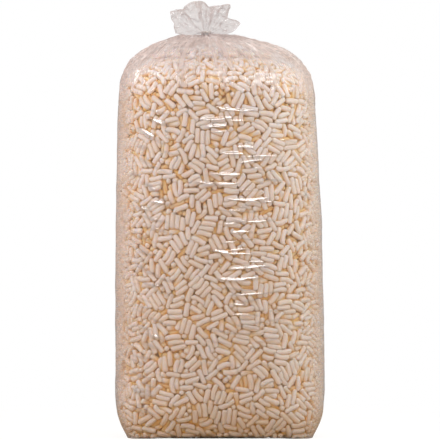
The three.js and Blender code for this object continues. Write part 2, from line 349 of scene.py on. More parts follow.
BOWS = (0.0004, 0.0014, 0.0024, 0.0036, 0.0056, 0.0018)  # sideways at the ends
WAVES = (0.0, 0.0008, 0.0, 0.0012, 0.0, 0.0024)  # a second bend, the other way
WAVE_PHASE = 4.2  # of the second bend, from a peanut's middle to its end
RING_CROWDING = 0.3  # power: lower crowds the rings closer to the ends
CUT_ROUNDNESS = 9  # power: higher makes the cut ends sharper
CUT_SHARE = 0.62  # radius of the cut face over the peanut's
LUMPS = 0.0014
LUMP_SIZE = 0.013
LUMP_RANGE = 4.0  # the noise mostly keeps within a quarter of its full range
PRESS_GAP = 0.0003  # from the form's outside to a peanut that the film presses flat

OUTERMOST = 1.9 * PEANUT_RADIUS  # a peanut whose middle is no deeper lies against the film
SUNKEN = 0.036  # depth within the heap at which the light that is left is tan, and the painted shade is at its fullest
CREVICE_FROM = 0.2  # depth, in radii, above which a face is in full light, with no painted crevice shade
CREVICE = 0.007  # distance to the next peanut within which a face gets painted shade and tan bounce light from it
PORE_SIZE = 0.0016  # real pores are about 0.4 mm, too fine to show
DENT_SIZE = 0.0050
NEIGHBOURS = 6  # nearest balls that are looked at for another peanut's


def linear(hex_colour):
    """An sRGB hex colour as the linear RGBA that a shader reads."""
    channels = [int(hex_colour[i : i + 2], 16) / 255 for i in (1, 3, 5)]
    return [c / 12.92 if c <= 0.04045 else ((c + 0.055) / 1.055) ** 2.4 for c in channels] + [1.0]


def add(tree, kind, given=None):
    """Adds a node. What is given is set on it, or on the input of that name or number.

    A socket is linked to the input, and so is the first output of a node.
    """
    node = tree.nodes.new(kind)
    for name, value in (given or {}).items():
        if isinstance(value, bpy.types.Node):
            value = value.outputs[0]
        if isinstance(value, bpy.types.NodeSocket):
            tree.links.new(value, node.inputs[name])
        elif isinstance(name, str) and hasattr(node, name):
            setattr(node, name, value)
        else:
            node.inputs[name].default_value = value
    return node


def new_material(name):
    """A material with an empty tree of nodes."""
    material = bpy.data.materials.new(name)
    material.use_nodes = True
    material.node_tree.nodes.clear()
    return material, material.node_tree


def grade(ramp, first, last, *between):
    """Sets a colour ramp's colours at its ends, and at the places between them."""
    ramp.elements[0].color = linear(first)
    ramp.elements[1].color = linear(last)
    for at, colour in between:
        ramp.elements.new(at).color = linear(colour)


def starch_material():
    """Puffed corn starch, extruded: an open-pored matt foam, cream with a pink or yellow cast."""
    material, tree = new_material("puffed_starch_foam")
    place = add(tree, "ShaderNodeTexCoord").outputs["Object"]
    tone, sunk, crevice = (
        add(tree, "ShaderNodeAttribute", {"attribute_name": name}).outputs["Fac"]
        for name in ("tone", "sunk", "crevice")
    )
    own = add(tree, "ShaderNodeValToRGB", {0: tone})
    grade(own.color_ramp, "#F8EEE4", "#FDF8F7", (0.5, "#FCF4EE"))
    # Painted light and shade: cool white where a face is fully lit, tan deeper in the heap and in
    # crevices.
    glow = add(tree, "ShaderNodeValToRGB", {0: sunk})
    grade(glow.color_ramp, "#FAF9FF", "#FAE0BE", (0.08, "#F5F2F8"), (0.22, "#FFF0DC"), (0.60, "#FDECD4"))
    multiplied = {"data_type": "RGBA", "blend_type": "MULTIPLY"}
    shade_tinted = add(tree, "ShaderNodeMix", {**multiplied, 0: crevice, 6: glow, 7: linear("#FFE2A4")})
    colour = add(tree, "ShaderNodeMix", {**multiplied, 0: 1.0, 6: own, 7: shade_tinted.outputs[2]})
    pores = add(tree, "ShaderNodeTexNoise", {"Scale": 1 / PORE_SIZE, "Detail": 3.0, "Vector": place})
    dents = add(tree, "ShaderNodeTexNoise", {"Scale": 1 / DENT_SIZE, "Detail": 2.0, "Vector": place})
    bump = add(tree, "ShaderNodeBump", {"Strength": 0.25, "Distance": 0.0008, "Height": pores})
    dented = {"Strength": 0.8, "Distance": 0.0018, "Height": dents, "Normal": bump}
    bump = add(tree, "ShaderNodeBump", dented)
    foam = add(tree, "ShaderNodeBsdfPrincipled", {
        "Base Color": colour.outputs[2],
        "Roughness": 0.82,
        "Specular IOR Level": 0.25,
        "Subsurface Weight": 0.85,
        "Subsurface Radius": (0.0080, 0.0068, 0.0056),
        "Subsurface Scale": 1.0,
        "Normal": bump,
    })
    add(tree, "ShaderNodeOutputMaterial", {"Surface": foam})
    return material


def new_group(name, sizes, counts, takes_geometry):
    """A Geometry Nodes tree with named inputs, and the sockets that they reach it by."""
    tree = bpy.data.node_groups.new(name, "GeometryNodeTree")
    geometry = {"name": "Geometry", "socket_type": "NodeSocketGeometry"}
    if takes_geometry:
        tree.interface.new_socket(in_out="INPUT", **geometry)
    for kind, values in (("NodeSocketFloat", sizes), ("NodeSocketInt", counts)):
        for label, value in values.items():
            socket = tree.interface.new_socket(name=label, in_out="INPUT", socket_type=kind)
            socket.default_value = value
    tree.interface.new_socket(in_out="OUTPUT", **geometry)
    return tree, add(tree, "NodeGroupInput").outputs


def one_peanut_tree():
    """A rope of foam about Z: a cylinder whose rings crowd to its ends, rounded, bowed and waved."""
    tree, given = new_group(
        "one_peanut", {"Length": 0, "Radius": 0, "Bow": 0, "Wave": 0}, {"Sides": 8, "Rings": 8}, False
    )
    rope = add(tree, "GeometryNodeMeshCylinder", {
        "fill_type": "NGON",
        "Vertices": given["Sides"],
        "Side Segments": given["Rings"],
        "Depth": 2.0,
        "Radius": 1.0,
    })
    at = add(tree, "ShaderNodeSeparateXYZ", {0: add(tree, "GeometryNodeInputPosition")}).outputs
    values = {name: given[name] for name in ("Length", "Radius", "Bow", "Wave")}
    values.update(x=at["X"], y=at["Y"], z=at["Z"])
    for result, operation, *terms in (
        ("from_middle", "ABSOLUTE", "z"),
        ("crowded", "POWER", "from_middle", RING_CROWDING),
        ("way", "SIGN", "z"),
        ("signed", "MULTIPLY", "crowded", "way"),
        ("rounding", "POWER", "crowded", CUT_ROUNDNESS),
        ("share", "MULTIPLY_ADD", "rounding", CUT_SHARE - 1, 1),
        ("girth", "MULTIPLY", "share", "Radius"),
        ("squared", "POWER", "crowded", 2),
        ("bowed", "MULTIPLY", "squared", "Bow"),
        ("phase", "MULTIPLY", "signed", WAVE_PHASE),
        ("sine", "SINE", "phase"),
        ("waved", "MULTIPLY", "sine", "Wave"),
        ("across", "MULTIPLY_ADD", "x", "girth", "bowed"),
        ("beside", "MULTIPLY_ADD", "y", "girth", "waved"),
        ("stretched", "MULTIPLY", "signed", "Length"),
        ("along", "MULTIPLY", "stretched", 0.5),
    ):
        inputs = {number: values.get(term, term) for number, term in enumerate(terms)}
        values[result] = add(tree, "ShaderNodeMath", {"operation": operation, **inputs})
    place = {0: values["across"], 1: values["beside"], 2: values["along"]}
    point = add(tree, "ShaderNodeCombineXYZ", place)
    shaped = add(tree, "GeometryNodeSetPosition", {"Geometry": rope, "Position": point})
    add(tree, "NodeGroupOutput", {"Geometry": shaped})
    return tree


def poured_tree(one_peanut, material):
    """Puts a peanut of one of the bends on every point, turned, sized and lumped."""
    sizes = {"Length": PEANUT_LENGTH, "Radius": PEANUT_RADIUS, "Lumps": LUMPS}
    tree, given = new_group("poured_peanuts", sizes, {"Sides": 8, "Rings": 6}, True)
    passed_on = {name: given[name] for name in ("Length", "Radius", "Sides", "Rings")}
    shapes = add(tree, "GeometryNodeJoinGeometry")
    for bow, wave in reversed(list(zip(BOWS, WAVES))):
        bend = {"node_tree": one_peanut, "Bow": bow, "Wave": wave}
        shape = add(tree, "GeometryNodeGroup", {**bend, **passed_on})
        held = add(tree, "GeometryNodeGeometryToInstance", {0: shape})
        tree.links.new(held.outputs[0], shapes.inputs[0])
    turn, size, bend = (
        add(tree, "GeometryNodeInputNamedAttribute", {"data_type": kind, "Name": name})
        for kind, name in (("QUATERNION", "turn"), ("FLOAT_VECTOR", "size"), ("INT", "bend"))
    )
    poured = add(tree, "GeometryNodeInstanceOnPoints", {
        "Points": given["Geometry"],
        "Instance": shapes,
        "Pick Instance": True,
        "Instance Index": bend,
        "Rotation": turn,
        "Scale": size,
    })
    real = add(tree, "GeometryNodeRealizeInstances", {0: poured})
    lump = add(tree, "ShaderNodeTexNoise", {"Scale": 1 / LUMP_SIZE, "Detail": 1.0}).outputs["Color"]
    centred = add(tree, "ShaderNodeVectorMath", {"operation": "SUBTRACT", 0: lump, 1: (0.5, 0.5, 0.5)})
    height = add(tree, "ShaderNodeMath", {"operation": "MULTIPLY", 0: given["Lumps"], 1: LUMP_RANGE})
    moved = add(tree, "ShaderNodeVectorMath", {"operation": "SCALE", 0: centred, "Scale": height})
    lumpy = add(tree, "GeometryNodeSetPosition", {"Geometry": real, "Offset": moved})
    smooth = add(tree, "GeometryNodeSetShadeSmooth", {"Geometry": lumpy})
    dressed = add(tree, "GeometryNodeSetMaterial", {"Geometry": smooth, "Material": material})
    add(tree, "NodeGroupOutput", {"Geometry": dressed})
    return tree


def turns_of(heading, spin):
    """Quaternions, w first, that turn Z to each heading after a spin about Z."""
    w = np.sqrt(np.clip((1 + heading[:, 2]) / 2, 1e-9, None))
    x, y = -heading[:, 1] / (2 * w), heading[:, 0] / (2 * w)
    c, s = np.cos(spin / 2), np.sin(spin / 2)
    return np.stack([w * c, x * c + y * s, y * c - x * s, w * s], axis=1)


def in_crevice(corners, owners, depth):
    """How closely another peanut crowds each vertex, from 0 to 1, apart from those on the outside. The
    starch paints shade and tan bounce light by it.
    """
    clear = np.full(len(corners), 1.0)
    for number, (corner, owner) in enumerate(zip(corners, owners)):
        for _, bead, distance in all_beads.find_n(corner, NEIGHBOURS):
            if bead // BEADS != owner:
                clear[number] = distance
                break
    crowded = np.clip(1 - (clear - PEANUT_RADIUS) / CREVICE, 0, 1)
    return crowded * np.clip(depth / PEANUT_RADIUS - CREVICE_FROM, 0, 1)


def mark(mesh, **fields):
    """Stores what the materials read: a number for each vertex, from 0 to 1."""
    for name, values in fields.items():
        mesh.attributes.new(name, "FLOAT", "POINT").data.foreach_set("value", values)


def corners_of(mesh):
    """A mesh's vertices as rows of an array."""
    corners = np.empty(3 * len(mesh.vertices))
    mesh.vertices.foreach_get("co", corners)
    return corners.reshape(-1, 3)


def pour(name, chosen, tree, sides, rings, pressed=True):
    """Makes one piece of the chosen peanuts, flattened where the film presses on them."""
    count = len(chosen)
    mesh = bpy.data.meshes.new(name + "_points")
    mesh.vertices.add(count)
    mesh.vertices.foreach_set("co", middles[chosen].ravel())
    spin = rng.uniform(0, 2 * math.pi, count)
    girth = radii[chosen] / PEANUT_RADIUS
    size = np.stack([girth, girth, 2 * halves[chosen] / PEANUT_LENGTH], axis=1)
    tone = rng.beta(2, 2, count)  # mostly middling shades
    for attribute, kind, field, values in (
        ("turn", "QUATERNION", "value", turns_of(headings[chosen], spin)),
        ("size", "FLOAT_VECTOR", "vector", size),
        ("bend", "INT", "value", rng.integers(0, len(BOWS), count)),
        ("tone", "FLOAT", "value", tone),
    ):
        layer = mesh.attributes.new(attribute, kind, "POINT")
        layer.data.foreach_set(field, np.ascontiguousarray(values).ravel())
    points = bpy.data.objects.new(name + "_points", mesh)
    bpy.context.scene.collection.objects.link(points)
    modifier = points.modifiers.new("poured", "NODES")
    modifier.node_group = tree
    for item in tree.interface.items_tree:
        if item.name in ("Sides", "Rings"):
            modifier[item.identifier] = {"Sides": sides, "Rings": rings}[item.name]
    depsgraph = bpy.context.evaluated_depsgraph_get()
    real = bpy.data.meshes.new_from_object(points.evaluated_get(depsgraph), depsgraph=depsgraph)
    real.name = name
    bpy.data.objects.remove(points)
    piece = bpy.data.objects.new(name, real)
    bpy.context.scene.collection.objects.link(piece)
    corners = corners_of(real)
    depth, outward = wall(corners)
    if pressed:
        corners -= np.clip(PRESS_GAP - depth, 0, None)[:, None] * outward
        corners[:, 2] = np.maximum(corners[:, 2], heap_floor + PRESS_GAP)
    real.vertices.foreach_set("co", foot_arched(corners).ravel())
    owners = np.repeat(chosen, len(real.vertices) // count)
    # Painted shade: how deep each vertex lies and how crowded it is, which the starch turns into tan
    # shade.
    mark(real, sunk=np.clip(depth / SUNKEN, 0, 1), crevice=in_crevice(corners, owners, depth))
    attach(piece, "root")
    return piece


starch = starch_material()
all_beads = search_tree(beads_of(middles, headings, halves, radii))  # number // BEADS is the peanut
poured = poured_tree(one_peanut_tree(), starch)
against_film = np.flatnonzero(depths < OUTERMOST)
beneath = np.flatnonzero(depths >= OUTERMOST)
BANDS = ("low", "middle", "high")
for chosen, name, sides, rings in (
    (against_film, "peanuts_against_film", 8, 6),
    (beneath, "peanuts_beneath", 6, 4),
):
    by_height = chosen[np.argsort(middles[chosen, 2])]
    for band, part in zip(BANDS, np.array_split(by_height, len(BANDS))):
        pour(f"{name}_{band}", part, poured, sides, rings)


# The topmost peanuts lie loose on the heap in the slack of the shoulder, where the frame has them.
top_nodes = sorted(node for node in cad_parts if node.startswith("peanut_"))
top_nodes.remove("peanut_heap")
first_on_top = len(middles)
for node in top_nodes:
    corners = np.unique(corners_of(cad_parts[node].data).round(7), axis=0)
    middle = corners.mean(0)
    heading = np.linalg.svd(corners - middle, full_matrices=False)[2][0]
    middles = np.append(middles, [middle], axis=0)
    headings = np.append(headings, [heading], axis=0)
    halves = np.append(halves, PEANUT_LENGTH / 2)
    radii = np.append(radii, PEANUT_RADIUS)
    depths = np.append(depths, 0.0)
on_top = pour("peanuts_on_top", np.arange(first_on_top, len(middles)), poured, 8, 6, pressed=False)
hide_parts(*top_nodes)


# ==== The imported heap within ====
# Behind the loose layer the same peanuts go on to the middle of the bag, where none of them shows.
# One lumpy body stands for them, and closes the deepest gaps with the painted tan shade of the deepest
# peanuts.

HEAP_SIDES = 120
HEAP_ROWS = 110
HEAP_CAP_ROWS = 34
HEAP_MIDDLE = 0.5  # height that its lumps stand out from
HEAP_LUMPS = 0.004
HEAP_LUMP_SIZE = 0.030
HEAP_DEPTH = LAYER_DEPTH - HEAP_LUMPS


def tube_faces(rows, columns):
    """Quads between rows of a closed tube, whose points are listed row by row from the bottom."""
    row, column = np.meshgrid(np.arange(rows - 1), np.arange(columns), indexing="ij")
    here = row * columns + column
    beside = row * columns + (column + 1) % columns
    return np.stack([here, beside, beside + columns, here + columns], axis=-1).reshape(-1, 4)


def fan_faces(centre, ring_start, columns, upward):
    """Triangles from a middle point to a ring."""
    here = ring_start + np.arange(columns)
    beside = ring_start + (np.arange(columns) + 1) % columns
    first, second = (here, beside) if upward else (beside, here)
    return np.stack([np.full(columns, centre), first, second], axis=-1)


def new_piece(name, points, faces, material):
    """A mesh object at the origin from arrays of points and faces, shaded smooth."""
    mesh = bpy.data.meshes.new(name)
    mesh.from_pydata(points.reshape(-1, 3), [], [list(map(int, face)) for face in faces])
    mesh.materials.append(material)
    mesh.shade_smooth()
    piece = bpy.data.objects.new(name, mesh)
    bpy.context.scene.collection.objects.link(piece)
    return piece


def waves_of(points, size, count, seed):
    """A smooth random field of about -1 to 1 at each point, whose lumps are about size across."""
    local = np.random.default_rng(seed)
    ways = unit(local.normal(size=(count, 3)))
    pace = 2 * math.pi / (2 * size * local.uniform(0.7, 1.5, count))
    phase = local.uniform(0, 2 * math.pi, count)
    total = np.zeros(points.shape[:-1])
    for way, rate, start in zip(ways, pace, phase):
        total += np.sin((points @ way) * rate + start)
    return total * math.sqrt(2 / count) * 0.7


def heap_core():
    """The form of the filled bag, brought in by the depth of the loose layer, and made lumpy."""
    angle = np.arange(HEAP_SIDES) * 2 * math.pi / HEAP_SIDES
    rise_angle = np.linspace(0, math.pi / 2, HEAP_CAP_ROWS)[1:-1]
    side_z = np.linspace(HEAP_DEPTH, SHOULDER_HEIGHT, HEAP_ROWS - len(rise_angle))
    inner_top = heap_top - HEAP_DEPTH
    rows = [on_ring(side_half(z) - HEAP_DEPTH, z, 0.0, angle) for z in side_z]
    for turn in rise_angle:
        rise = math.sin(turn) ** (2 / SWELL)
        half = (widest - TAPER - HEAP_DEPTH) * math.cos(turn) ** (2 / SWELL)
        rows.append(on_ring(half, SHOULDER_HEIGHT + (inner_top - SHOULDER_HEIGHT) * rise, rise, angle))
    rings = np.array(rows)
    outward = unit(rings - np.array([0, 0, HEAP_MIDDLE]))
    rings = rings + HEAP_LUMPS * waves_of(rings, HEAP_LUMP_SIZE, 40, 3)[..., None] * outward
    points = np.concatenate([rings.reshape(-1, 3), [rings[0].mean(0)], [rings[-1].mean(0)]])
    last_ring = (len(rings) - 1) * HEAP_SIDES
    faces = [
        *tube_faces(len(rings), HEAP_SIDES),
        *fan_faces(len(points) - 2, 0, HEAP_SIDES, False),
        *fan_faces(len(points) - 1, last_ring, HEAP_SIDES, True),
    ]
    piece = new_piece("packed_heap", points, faces, starch)
    # Painted shade: the whole body takes the starch's deepest, tan shade.
    mark(piece.data, sunk=np.ones(len(points)), crevice=np.ones(len(points)))
    return piece


heap = heap_core()
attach(heap, "root")
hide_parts("peanut_heap")


# ==== The film ====
# One tube of clear low-density polyethylene, 0.05 mm thick, blown, cut to length and heat-sealed across
# its gusseted bottom. It is drawn tight over the peanuts at the sides, falls into radial pleats from the
# tied neck, and its loose mouth stands up above the tie as a crumpled rosette.

COLUMNS = 450  # of the shoulder and the mouth
FINER = 3  # times as many as the columns below the shoulder
BASE_RINGS = 9
SIDE_STEP = 0.0025
SHOULDER_RINGS = 60
SHOULDER_EASE = 0.9  # power: under 1 brings these rings closer together towards the neck
NECK_RADIUS = 0.013
NECK_RINGS = 4
MOUTH_RINGS = 28
NECK_TOP = tie_middle.z - 0.004  # the mouth spreads from inside the tie
SPOKES = 14.0  # how closely the fine creases round the neck stand: about this many in each radian
SPOKE_WAVER = 8.0  # how fast they change on the way down, in each metre
CREASE_SIZE = (0.016, 0.070, 0.0080)  # of the creases that slant down the sides
CREASE_SLANT = math.radians(-50)
CRINKLE_SIZE = 0.006
CLEAR_PLASTIC = (0.97, 0.965, 0.96, 1)  # share of each colour of light that comes straight through

# Level wrinkles where the film bridges from peanut to peanut. They gather in upright bands: each is
# its place round the bag as a share of the girth, its spread, how many it has, the shortest and the
# longest of them, the height of the lowest, and how much they climb to the right.
WRINKLE_BANDS = (
    (0.788, 0.046, 42, 0.050, 0.170, 0.26, 0.02),
    (0.640, 0.024, 44, 0.045, 0.100, 0.07, -0.28),
    (0.300, 0.045, 34, 0.060, 0.150, 0.20, 0.0),
    (0.135, 0.018, 34, 0.030, 0.066, 0.07, 0.15),
)
WRINKLE_TOP = 0.94
WRINKLE_WIDTH = (0.0028, 0.0062)
WRINKLE_STEEPNESS = (0.42, 0.62)  # its height over its width
WRINKLE_TILT = 0.08
WRINKLE_BEND = (0.9, 1.4)  # the usual bend, and how much it varies
WRINKLE_WAVER = 0.0012
WAVER_LENGTH = 0.017
WRINKLE_CROWDING = (3, 0.040)  # how many more columns of points stand in a band, and how far about it

PLEAT_FAMILIES = ((23, 0.0060, 0.30), (47, 0.0046, 0.20), (83, 0.0030, 0.12))  # count, height, reach
PLEATS_FROM = 0.03  # how far from the neck they are whole
PUFF_SIZE = 0.055  # of the film's soft bulges
SIDE_PUFFS, SHOULDER_PUFFS = 0.0010, 0.0018
DIMPLE_SIZE = 0.012  # about a peanut's thickness
SIDE_DIMPLES, SHOULDER_DIMPLES = 0.0002, 0.0010
# The rosette: how far it reaches at each angle up from the right, in degrees.
MOUTH_TIPS = (
    (0, 0.064), (6, 0.079), (16, 0.104), (38, 0.075), (49, 0.108), (65, 0.088), (84, 0.078),
    (92, 0.090), (106, 0.097), (120, 0.098), (134, 0.096), (149, 0.121), (164, 0.095), (180, 0.086),
)
CRUMPLE = 0.0042
CRUMPLE_SIZE = 0.011
CRUMPLE_WAY = (0.35, 1.0, 0.35)  # mostly to the front and the back, so that the outline stays clean
EAR = 0.011  # how far an empty corner of the gusset sticks out past the peanuts
EAR_HEIGHT = 0.022
EAR_POWER = 8  # how sharp the corner is
MOUTH_SAG = 0.006  # how far its film at the sides droops on the way out
MOUTH_DEPTH = 0.62  # of the rosette, front to back, over its width
LOBES = 5  # its loose film leans out this many times on the way round, and stands up between them
STANDING = 0.15  # how far it leans out where it stands up, over how far where it leans
RUFFLES = ((7, 0.010), (17, 0.005), (31, 0.002))  # count round the mouth, height at its edge
RUFFLE_WAY = (0.12, 1.0, -0.08)  # which way they stand out: mostly to the front and the back


def ramp(value, start, whole):
    """0 up to start, 1 from whole on, and even between them."""
    return np.clip((value - start) / (whole - start), 0, 1)


def film_profile():
    """Rows from the middle of the base to the edge of the mouth: half width, height, rise, opening."""
    base = [(side_half(0.0) * ring / BASE_RINGS, 0.0, 0.0, 0.0) for ring in range(1, BASE_RINGS)]
    steps = int(SHOULDER_HEIGHT / SIDE_STEP)
    side = [(side_half(z), z, 0.0, 0.0) for z in np.linspace(0, SHOULDER_HEIGHT, steps)[:-1]]
    edge = widest - TAPER
    last = math.acos((NECK_RADIUS / edge) ** (SWELL / 2))
    shoulder = []
    for turn in last * np.linspace(0, 1, SHOULDER_RINGS) ** SHOULDER_EASE:
        rise = math.sin(turn) ** (2 / SWELL)
        half = edge * math.cos(turn) ** (2 / SWELL)
        shoulder.append((half, SHOULDER_HEIGHT + (neck_base - SHOULDER_HEIGHT) * rise, rise, 0.0))
    neck = [(NECK_RADIUS, z, 1.0, 0.0) for z in np.linspace(neck_base, NECK_TOP, NECK_RINGS + 1)[1:]]
    mouth = [(NECK_RADIUS, NECK_TOP, 1.0, opening) for opening in np.linspace(0, 1, MOUTH_RINGS + 1)[1:]]
    return np.array(base + side + shoulder + neck + mouth)


def wrinkle_field(arc, z, girth, local):
    """Level wrinkles, each a thin ridge that tapers at its ends, bends a little and wavers."""
    total = np.zeros_like(arc)
    for place, spread, count, shortest, longest, lowest, climb in WRINKLE_BANDS:
        for rank in range(count):
            mid_arc = place * girth + spread * local.normal()
            mid_z = lowest + (WRINKLE_TOP - lowest) * (rank + local.random()) / count
            reach = local.uniform(shortest, longest) / 2
            steepness = local.uniform(*WRINKLE_STEEPNESS)
            tilt = climb + WRINKLE_TILT * local.normal()
            bend = WRINKLE_BEND[0] + WRINKLE_BEND[1] * local.normal()
            waver, phase = WRINKLE_WAVER * local.random(), local.uniform(0, 2 * math.pi)
            rows = np.abs(z[:, 0] - mid_z) < 0.04
            along = (arc[rows] - mid_arc + girth / 2) % girth - girth / 2
            left = 1 - np.clip(along / reach, -1, 1) ** 2
            width = local.uniform(*WRINKLE_WIDTH) * (0.3 + 0.7 * left)
            path = tilt * along + bend * along**2 + waver * np.sin(along / WAVER_LENGTH + phase)
            off = z[rows] - mid_z - path
            ridge = steepness * width * np.clip(4 * left, 0, 1) * np.exp(-((off / width) ** 2))
            total[rows] = np.maximum(total[rows], ridge)
    return total


def pleat_field(angle, down, local):
    """Radial folds of the shoulder, sharp-crested, the finer ones fading nearer the neck."""
    total = np.zeros_like(angle)
    for count, height, reach in PLEAT_FAMILIES:
        sway = sum(
            0.35 * np.sin(pitch * angle + 14 * down + local.uniform(0, 2 * math.pi)) for pitch in (2, 3, 5)
        )
        fold = 1 - np.abs(np.sin((count * angle) / 2 + sway * math.sqrt(count) / 3))
        uneven = 0.6 + 0.4 * np.sin(5 * angle + local.uniform(0, 2 * math.pi))
        faded = np.exp(-((down / reach) ** 2)) * ramp(down, 0, PLEATS_FROM)
        total += height * uneven * (fold**1.5 - 0.3) * faded
    return total


def mouth_form(opening, angle, local):
    """The rosette: a half disc seen from the front, whose lobes of ruffled film lean out all round."""
    across, along = np.cos(angle), np.sin(angle)
    upright = np.abs(along)
    turn = np.degrees(np.arctan2(upright, across))
    places, reaches = np.array(MOUTH_TIPS).T
    reach = np.interp(turn, places, reaches)
    ruffle = sum(
        height * (2 * np.abs(np.sin(pitch * angle / 2 + local.uniform(0, math.pi))) - 1)
        for pitch, height in RUFFLES
    )
    outward = 0.5 * opening + 0.5 * opening**2
    leaning = 0.5 + 0.5 * np.cos(LOBES * angle + local.uniform(0, 2 * math.pi))
    outward = outward * (STANDING + (1 - STANDING) * leaning)
    x = NECK_RADIUS * across * (1 - opening) + reach * opening**0.9 * across
    y = NECK_RADIUS * along * (1 - opening) + MOUTH_DEPTH * reach * outward * along
    z = reach * opening**0.9 * upright - MOUTH_SAG * np.sin(math.pi * opening) * (1 - upright)
    out = np.stack([across, along, upright], axis=-1) * np.array(RUFFLE_WAY)
    points = np.stack([tie_middle.x + x, y, NECK_TOP + z], axis=-1)
    crumple = np.stack([waves_of(points, CRUMPLE_SIZE, 60, seed) for seed in (31, 32, 33)], axis=-1)
    crumple *= CRUMPLE * np.array(CRUMPLE_WAY)
    return points + (ruffle * opening)[..., None] * out + crumple * ramp(opening, 0, 0.5)[..., None]


def round_about(ring):
    """How far each point of a ring is on the way round it, and the ring's length."""
    steps = np.linalg.norm(np.diff(ring, axis=0, append=ring[:1]), axis=1)
    return np.cumsum(steps) - steps, steps.sum()


def column_angles(row_half, level):
    """Where the columns of points stand round the bag: closer where the wrinkles are."""
    fine = np.arange(3600) * 2 * math.pi / 3600
    arc, girth = round_about(on_ring(row_half, level, 0.0, fine))
    steps = np.diff(arc, append=girth)
    weight = np.ones(len(fine))
    extra, margin = WRINKLE_CROWDING
    for place, spread, *_ in WRINKLE_BANDS:
        gap = (arc - place * girth + girth / 2) % girth - girth / 2
        weight += extra * np.exp(-((gap / (spread + margin)) ** 2))
    filled_share = np.cumsum(weight * steps) / np.sum(weight * steps)
    return np.interp(np.arange(COLUMNS) / COLUMNS, filled_share, fine)


def film_points():
    """Every point of the film, and what the material reads there."""
    local = np.random.default_rng(8)
    profile = film_profile()
    half, z, rise, opening = (profile[:, i, None] for i in range(4))
    angle = column_angles(side_half(0.5), 0.5)
    rings = np.stack([on_ring(h, level, r, angle) for h, level, r, _ in profile])

    along = np.roll(rings, -1, axis=1) - np.roll(rings, 1, axis=1)
    upward = np.gradient(rings, axis=0)
    outward = unit(np.cross(along, upward) + 1e-12)

    arc, girth = round_about(rings[BASE_RINGS + int(0.5 * SHOULDER_HEIGHT / SIDE_STEP)])
    arc = arc + 0 * z
    level = z + 0 * arc

    # Each kind of relief has its own stretch of the bag, and fades in from that stretch's edge.
    wrinkles = wrinkle_field(arc, level, girth, local) * ramp(level, 0, 0.03) * (rise <= 0.6)
    down = np.linalg.norm(rings - rings[-MOUTH_RINGS - 1].mean(0), axis=-1)
    pleats = pleat_field(angle + 0 * z, down, local) * ramp(rise, 0, 0.3) * (opening == 0)
    puffs = waves_of(rings, PUFF_SIZE, 24, 12)
    puffs = SHOULDER_PUFFS * puffs * ramp(rise, 0, 0.4) + SIDE_PUFFS * (1 + puffs) * ramp(level, 0, 0.05)
    puffs *= ramp(down, 0, 0.06)
    dimples = waves_of(rings, DIMPLE_SIZE, 60, 13) * ramp(level, 0, 0.02)
    dimples *= SIDE_DIMPLES + (SHOULDER_DIMPLES - SIDE_DIMPLES) * ramp(level, 0.88, 1.0)
    lift = wrinkles + pleats + (puffs + dimples) * (opening == 0) * (rise < 1)
    corner = np.abs(np.sin(2 * angle)) * np.clip(half / side_half(0.0), 0, 1)
    ear = EAR * corner**EAR_POWER * np.exp(-level / EAR_HEIGHT)
    sideways = unit(rings * np.array([1, 1, 0]) + 1e-12)
    points = rings + lift[..., None] * outward + ear[..., None] * sideways
    points[-MOUTH_RINGS:] = mouth_form(opening[-MOUTH_RINGS:], angle, local)

    # Where the film hangs slack, is loose, has a wrinkle's crest, is the mouth, is folded, is hazy.
    cloud = 0.60 + 0.40 * ramp(level, 0.10, 0.40) * ramp(-rings[..., 0], 0, 0.20)
    return points, {
        "slack": ramp(rise, 0, 1) ** 3 + 0 * angle,
        "loose": ramp(rise, 0, 0.25) + 0 * angle,
        "crest": np.clip(1.4 * wrinkles / WRINKLE_WIDTH[1] / WRINKLE_STEEPNESS[0], 0, 1),
        "mouth": (opening > 0) + 0 * angle,
        "fold": np.maximum(ramp(pleats, 0.0012, 0.0052), ramp(opening, 0.94, 1.0)),
        "cloud": np.maximum(cloud, ramp(level, 0.90, 1.02)),
    }


def stitch_faces(lower_start, upper_start, columns):
    """Triangles from a ring up to the next, which has FINER times as many points."""
    low = lower_start + np.arange(columns)
    next_low = lower_start + (np.arange(columns) + 1) % columns
    finer = FINER * np.arange(columns)
    high = [upper_start + (finer + step) % (FINER * columns) for step in range(FINER + 1)]
    half_way = FINER // 2
    trios = [(low, next_low, high[half_way])]
    for step in range(FINER):
        trios.append((low if step < half_way else next_low, high[step + 1], high[step]))
    return np.concatenate([np.stack(trio, axis=-1) for trio in trios])


